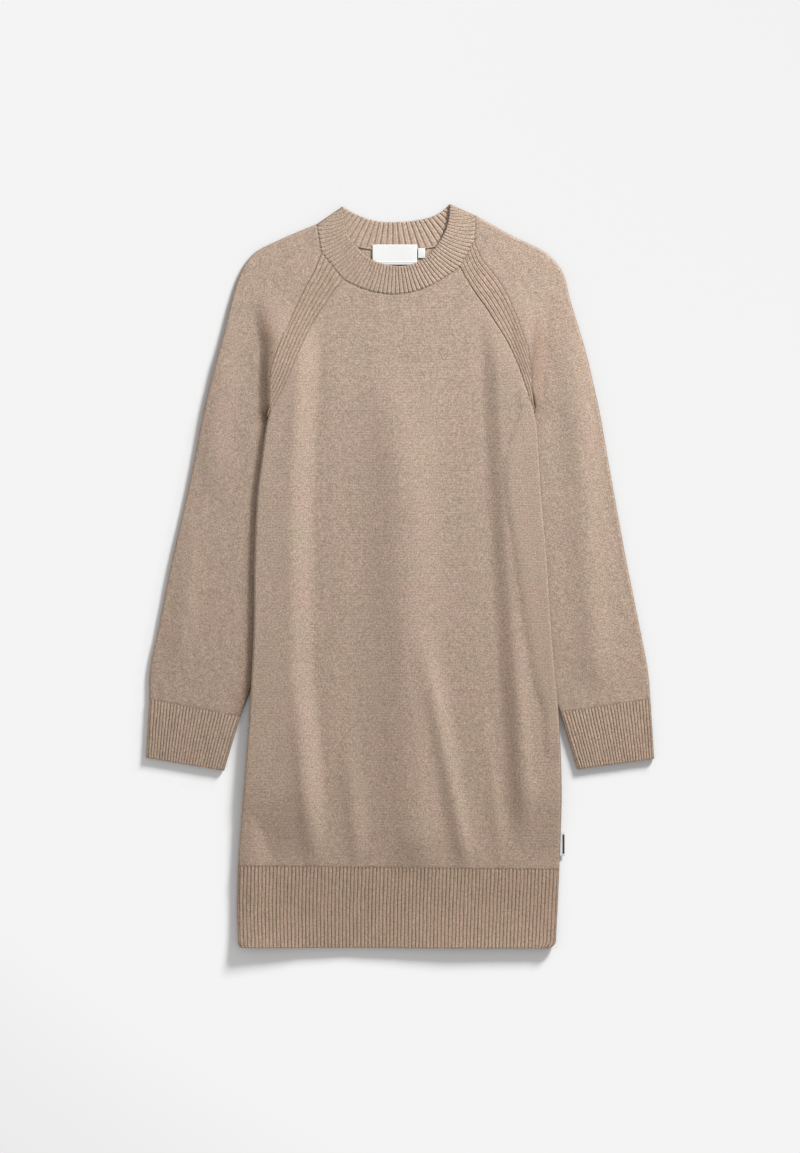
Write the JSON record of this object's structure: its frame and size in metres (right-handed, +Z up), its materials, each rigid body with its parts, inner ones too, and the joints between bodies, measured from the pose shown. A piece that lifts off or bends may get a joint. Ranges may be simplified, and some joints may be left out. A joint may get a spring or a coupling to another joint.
{
  "type": "sweater dress",
  "caption": "Long-sleeved knitted raglan dress laid flat, with ribbed crew neckband, raglan bands, cuffs and deep hem.",
  "frame": {"origin": "middle of the dress's bounding box, on the surface that it lies on", "axes": "+X across the dress, +Y from hem to neck, +Z up through its front, off the surface"},
  "size_m": [0.6094, 0.8919, 0.0134],
  "materials": {
    "jersey": "soft oatmeal melange jersey, brushed and slightly fuzzy",
    "rib": "oatmeal melange rib knit",
    "label": "smooth white woven tape",
    "tab": "folded white tape with a plain dark strip"
  },
  "bodies": {
    "root": {"front": "jersey", "back": "jersey", "sleeve_left": "jersey", "sleeve_right": "jersey", "hem_front": "rib", "hem_back": "rib", "neckband": "rib", "cuff_left": "rib", "cuff_right": "rib", "raglan_front_left": "rib", "raglan_front_right": "rib", "raglan_back_left": "rib", "raglan_back_right": "rib", "neck_label": "label", "size_tab": "label", "side_tab": "tab"}
  },
  "joints": []
}
